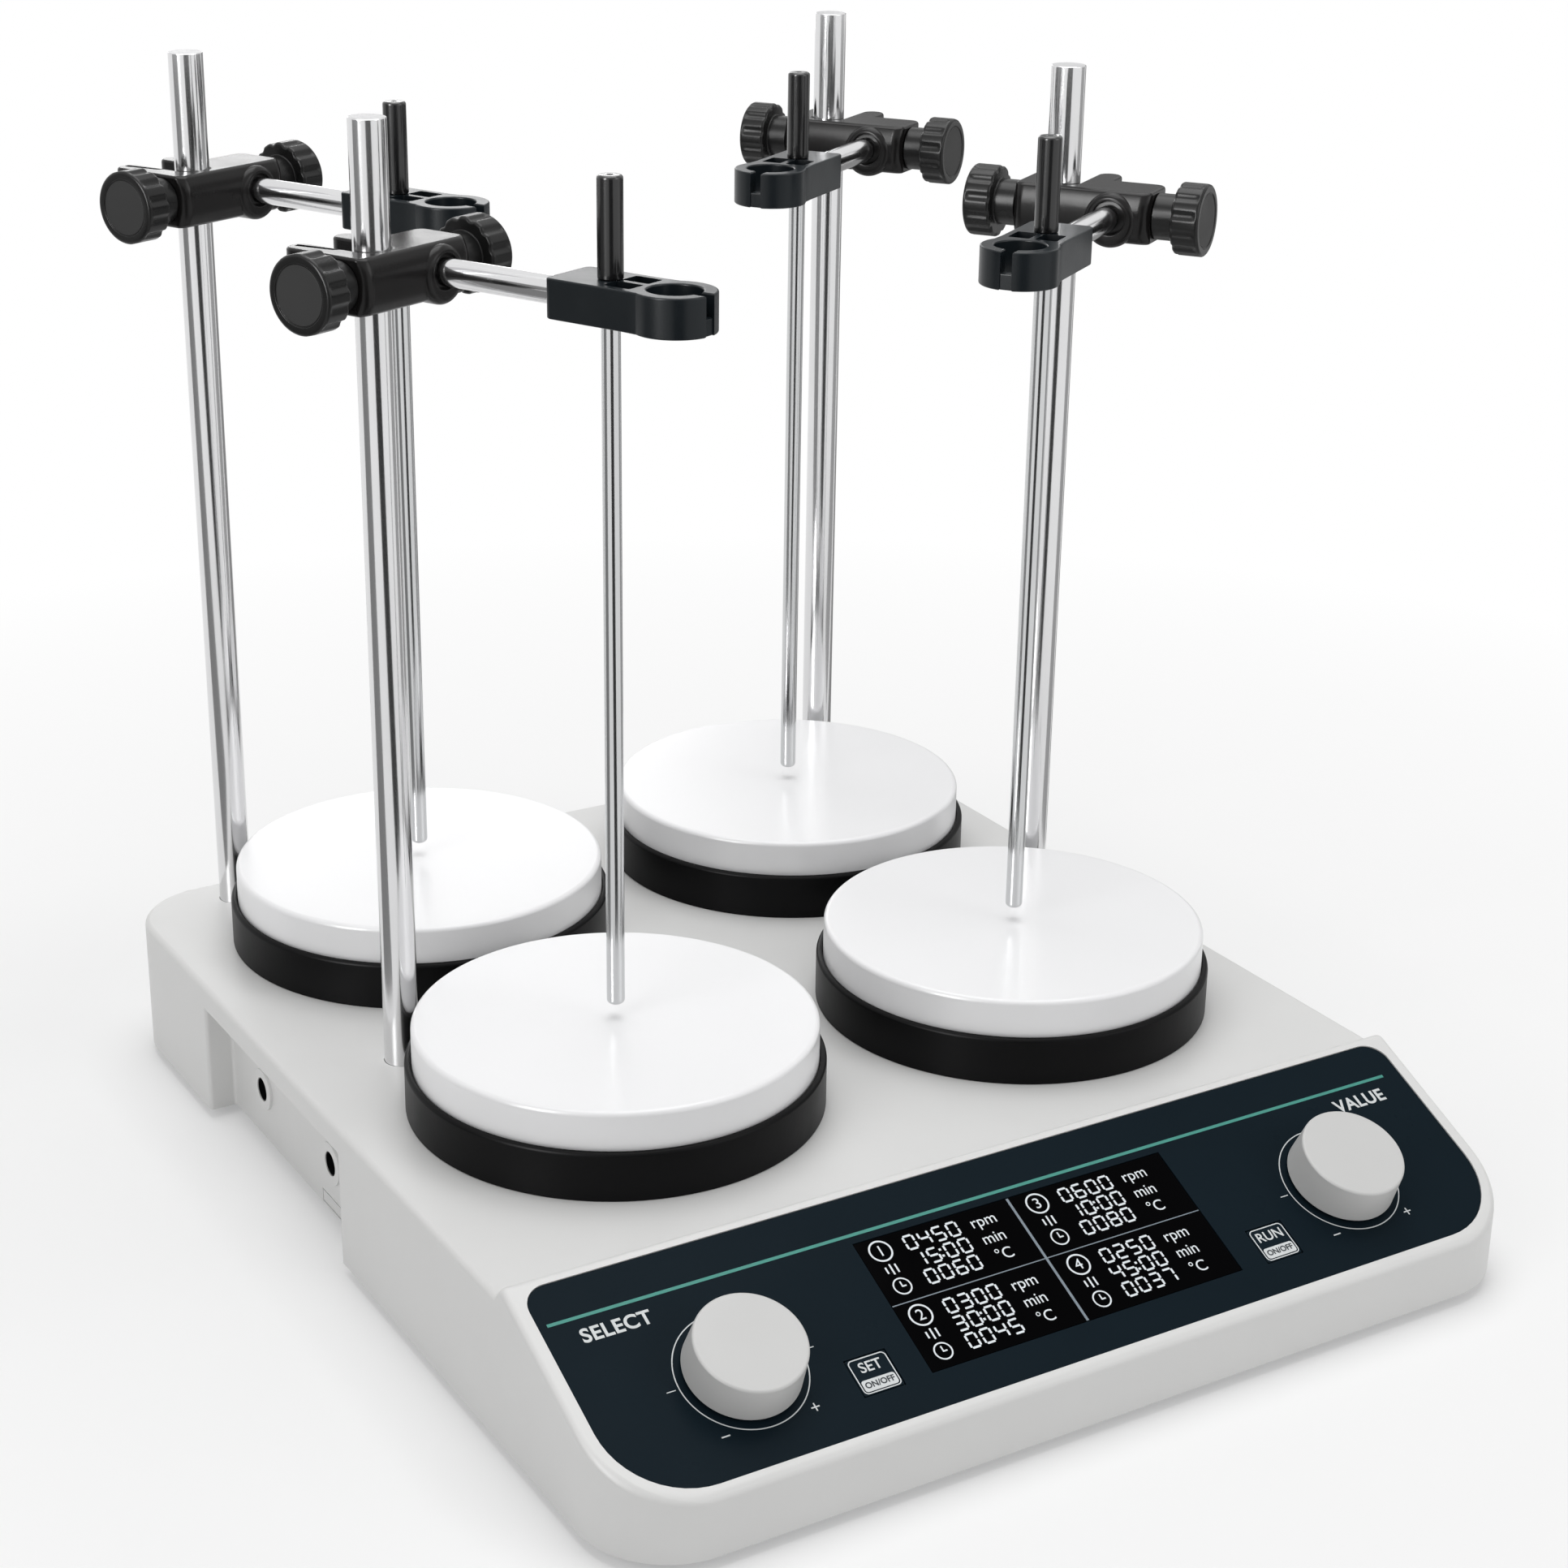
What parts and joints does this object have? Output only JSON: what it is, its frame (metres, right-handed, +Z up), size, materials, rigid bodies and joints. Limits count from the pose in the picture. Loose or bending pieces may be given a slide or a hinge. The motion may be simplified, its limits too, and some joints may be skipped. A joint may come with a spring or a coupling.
{
  "type": "multi-position hotplate stirrer",
  "caption": "Low bench housing with heated stirring plates, each under a rod, boss clamp, arm and temperature probe, and a sloped front panel with a display, push knobs and keys.",
  "frame": {"origin": "on the bench, under the middle of the whole assembly's box", "axes": "+Z up, +Y from the control panel to the back, +X to the right seen from the front"},
  "size_m": [0.3405, 0.4252, 0.372],
  "materials": {
    "housing_white": "satin off-white moulded cover with a fine texture",
    "base_steel": "zinc plated sheet",
    "foot_rubber": "matt black",
    "fastener_steel": "plated",
    "ring_black": "satin black heat resistant moulding",
    "plate_white": "white ceramic coating",
    "heater_aluminium": "bare casting",
    "motor_black": "black painted",
    "panel_navy": "satin printed film, very dark navy",
    "display_black": "black window with lit white figures",
    "board_green": "solder mask",
    "socket_black": "satin black",
    "rocker_black": "gloss black",
    "knob_grey": "satin light grey",
    "magnet_steel": "plated",
    "rod_chrome": "polished",
    "boss_dark": "satin dark grey anodised",
    "grip_black": "satin black moulding",
    "holder_black": "satin blue-black moulding",
    "probe_steel": "polished stainless",
    "handle_black": "gloss black"
  },
  "bodies": {
    "base": {"housing": "housing_white", "base_plate": "base_steel", "feet": "foot_rubber", "base_screws": "fastener_steel", "insulating_rings": "ring_black", "heating_plates": "plate_white", "heater_discs": "heater_aluminium", "motor_brackets": "base_steel", "stir_motors": "motor_black", "panel_overlay": "panel_navy", "display_module": "display_black", "control_board": "board_green", "power_board": "board_green", "encoder_bodies": "fastener_steel", "key_switches": "motor_black", "sensor_sockets": "socket_black", "mains_inlet": "socket_black"},
    "rod_1": {"support_rod_1": "rod_chrome"},
    "boss_1": {"boss_clamp_1": "boss_dark"},
    "arm_1": {"cross_arm_1": "rod_chrome", "sensor_holder_1": "holder_black"},
    "probe_1": {"probe_sheath_1": "probe_steel", "probe_handle_1": "handle_black"},
    "rod_screw_1": {"rod_clamp_knob_1": "grip_black"},
    "arm_screw_1": {"arm_clamp_knob_1": "grip_black"},
    "drive_1": {"stir_magnet_1": "magnet_steel"},
    "rod_2": {"support_rod_2": "rod_chrome"},
    "boss_2": {"boss_clamp_2": "boss_dark"},
    "arm_2": {"cross_arm_2": "rod_chrome", "sensor_holder_2": "holder_black"},
    "probe_2": {"probe_sheath_2": "probe_steel", "probe_handle_2": "handle_black"},
    "rod_screw_2": {"rod_clamp_knob_2": "grip_black"},
    "arm_screw_2": {"arm_clamp_knob_2": "grip_black"},
    "drive_2": {"stir_magnet_2": "magnet_steel"},
    "rod_3": {"support_rod_3": "rod_chrome"},
    "boss_3": {"boss_clamp_3": "boss_dark"},
    "arm_3": {"cross_arm_3": "rod_chrome", "sensor_holder_3": "holder_black"},
    "probe_3": {"probe_sheath_3": "probe_steel", "probe_handle_3": "handle_black"},
    "rod_screw_3": {"rod_clamp_knob_3": "grip_black"},
    "arm_screw_3": {"arm_clamp_knob_3": "grip_black"},
    "drive_3": {"stir_magnet_3": "magnet_steel"},
    "rod_4": {"support_rod_4": "rod_chrome"},
    "boss_4": {"boss_clamp_4": "boss_dark"},
    "arm_4": {"cross_arm_4": "rod_chrome", "sensor_holder_4": "holder_black"},
    "probe_4": {"probe_sheath_4": "probe_steel", "probe_handle_4": "handle_black"},
    "rod_screw_4": {"rod_clamp_knob_4": "grip_black"},
    "arm_screw_4": {"arm_clamp_knob_4": "grip_black"},
    "drive_4": {"stir_magnet_4": "magnet_steel"},
    "left_shaft": {"left_encoder_shaft": "fastener_steel"},
    "left_dial": {"left_knob": "knob_grey"},
    "left_button": {"left_key": "panel_navy"},
    "right_shaft": {"right_encoder_shaft": "fastener_steel"},
    "right_dial": {"right_knob": "knob_grey"},
    "right_button": {"right_key": "panel_navy"},
    "rocker": {"power_rocker": "rocker_black"}
  },
  "joints": [
    {"name": "rod_swivel_1", "type": "hinge", "parent": "base", "child": "rod_1", "pos_m": [-0.13078, 0.17905, 0.054], "axis": [0, 0, 1], "range_deg": [-60, 60]},
    {"name": "boss_lift_1", "type": "slide", "parent": "rod_1", "child": "boss_1", "axis": [0, 0, 1], "range_m": [-0.003, 0.034]},
    {"name": "arm_slide_1", "type": "slide", "parent": "boss_1", "child": "arm_1", "axis": [0.416, -0.9094, 0], "range_m": [-0.035, 0.008]},
    {"name": "probe_lift_1", "type": "slide", "parent": "arm_1", "child": "probe_1", "axis": [0, 0, 1], "range_m": [0, 0.2]},
    {"name": "rod_screw_turn_1", "type": "hinge", "parent": "boss_1", "child": "rod_screw_1", "pos_m": [-0.14442, 0.17281, 0.323], "axis": [-0.9094, -0.416, 0], "range_deg": [0, 180]},
    {"name": "arm_screw_turn_1", "type": "hinge", "parent": "boss_1", "child": "arm_screw_1", "pos_m": [-0.09895, 0.19361, 0.323], "axis": [0.9094, 0.416, 0], "range_deg": [0, 180]},
    {"name": "stir_spin_1", "type": "hinge", "parent": "base", "child": "drive_1", "pos_m": [-0.08, 0.11853, 0.034], "axis": [0, 0, 1], "continuous": true},
    {"name": "rod_swivel_2", "type": "hinge", "parent": "base", "child": "rod_2", "pos_m": [-0.13078, 0.02305, 0.054], "axis": [0, 0, 1], "range_deg": [-60, 60]},
    {"name": "boss_lift_2", "type": "slide", "parent": "rod_2", "child": "boss_2", "axis": [0, 0, 1], "range_m": [-0.003, 0.034]},
    {"name": "arm_slide_2", "type": "slide", "parent": "boss_2", "child": "arm_2", "axis": [0.416, -0.9094, 0], "range_m": [-0.035, 0.008]},
    {"name": "probe_lift_2", "type": "slide", "parent": "arm_2", "child": "probe_2", "axis": [0, 0, 1], "range_m": [0, 0.2]},
    {"name": "rod_screw_turn_2", "type": "hinge", "parent": "boss_2", "child": "rod_screw_2", "pos_m": [-0.14442, 0.01681, 0.323], "axis": [-0.9094, -0.416, 0], "range_deg": [0, 180]},
    {"name": "arm_screw_turn_2", "type": "hinge", "parent": "boss_2", "child": "arm_screw_2", "pos_m": [-0.09895, 0.03761, 0.323], "axis": [0.9094, 0.416, 0], "range_deg": [0, 180]},
    {"name": "stir_spin_2", "type": "hinge", "parent": "base", "child": "drive_2", "pos_m": [-0.08, -0.03747, 0.034], "axis": [0, 0, 1], "continuous": true},
    {"name": "rod_swivel_3", "type": "hinge", "parent": "base", "child": "rod_3", "pos_m": [0.13078, 0.17905, 0.054], "axis": [0, 0, 1], "range_deg": [-60, 60]},
    {"name": "boss_lift_3", "type": "slide", "parent": "rod_3", "child": "boss_3", "axis": [0, 0, 1], "range_m": [-0.003, 0.034]},
    {"name": "arm_slide_3", "type": "slide", "parent": "boss_3", "child": "arm_3", "axis": [-0.8233, -0.5676, 0], "range_m": [-0.035, 0.008]},
    {"name": "probe_lift_3", "type": "slide", "parent": "arm_3", "child": "probe_3", "axis": [0, 0, 1], "range_m": [0, 0.2]},
    {"name": "rod_screw_turn_3", "type": "hinge", "parent": "boss_3", "child": "rod_screw_3", "pos_m": [0.12227, 0.1914, 0.323], "axis": [-0.5676, 0.8233, 0], "range_deg": [0, 180]},
    {"name": "arm_screw_turn_3", "type": "hinge", "parent": "boss_3", "child": "arm_screw_3", "pos_m": [0.15065, 0.15024, 0.323], "axis": [0.5676, -0.8233, 0], "range_deg": [0, 180]},
    {"name": "stir_spin_3", "type": "hinge", "parent": "base", "child": "drive_3", "pos_m": [0.08, 0.11853, 0.034], "axis": [0, 0, 1], "continuous": true},
    {"name": "rod_swivel_4", "type": "hinge", "parent": "base", "child": "rod_4", "pos_m": [0.13078, 0.02305, 0.054], "axis": [0, 0, 1], "range_deg": [-60, 60]},
    {"name": "boss_lift_4", "type": "slide", "parent": "rod_4", "child": "boss_4", "axis": [0, 0, 1], "range_m": [-0.003, 0.034]},
    {"name": "arm_slide_4", "type": "slide", "parent": "boss_4", "child": "arm_4", "axis": [-0.8233, -0.5676, 0], "range_m": [-0.035, 0.008]},
    {"name": "probe_lift_4", "type": "slide", "parent": "arm_4", "child": "probe_4", "axis": [0, 0, 1], "range_m": [0, 0.2]},
    {"name": "rod_screw_turn_4", "type": "hinge", "parent": "boss_4", "child": "rod_screw_4", "pos_m": [0.12227, 0.0354, 0.323], "axis": [-0.5676, 0.8233, 0], "range_deg": [0, 180]},
    {"name": "arm_screw_turn_4", "type": "hinge", "parent": "boss_4", "child": "arm_screw_4", "pos_m": [0.15065, -0.00577, 0.323], "axis": [0.5676, -0.8233, 0], "range_deg": [0, 180]},
    {"name": "stir_spin_4", "type": "hinge", "parent": "base", "child": "drive_4", "pos_m": [0.08, -0.03747, 0.034], "axis": [0, 0, 1], "continuous": true},
    {"name": "left_knob_turn", "type": "hinge", "parent": "base", "child": "left_shaft", "pos_m": [-0.114, -0.17912, 0.03887], "axis": [0, -0.4067, 0.9135], "continuous": true},
    {"name": "left_knob_push", "type": "slide", "parent": "left_shaft", "child": "left_dial", "axis": [0, 0.4067, -0.9135], "range_m": [0, 0.0006], "stiffness_N_per_m": 2000, "springref_m": -0.0005},
    {"name": "left_key_press", "type": "slide", "parent": "base", "child": "left_button", "axis": [0, 0.4067, -0.9135], "range_m": [0, 0.0005], "stiffness_N_per_m": 1500, "springref_m": -0.0005},
    {"name": "right_knob_turn", "type": "hinge", "parent": "base", "child": "right_shaft", "pos_m": [0.114, -0.17912, 0.03887], "axis": [0, -0.4067, 0.9135], "continuous": true},
    {"name": "right_knob_push", "type": "slide", "parent": "right_shaft", "child": "right_dial", "axis": [0, 0.4067, -0.9135], "range_m": [0, 0.0006], "stiffness_N_per_m": 2000, "springref_m": -0.0005},
    {"name": "right_key_press", "type": "slide", "parent": "base", "child": "right_button", "axis": [0, 0.4067, -0.9135], "range_m": [0, 0.0005], "stiffness_N_per_m": 1500, "springref_m": -0.0005},
    {"name": "power_switch", "type": "hinge", "parent": "base", "child": "rocker", "pos_m": [-0.0465, 0.19303, 0.029], "axis": [1, 0, 0], "range_deg": [-14, 0]}
  ]
}
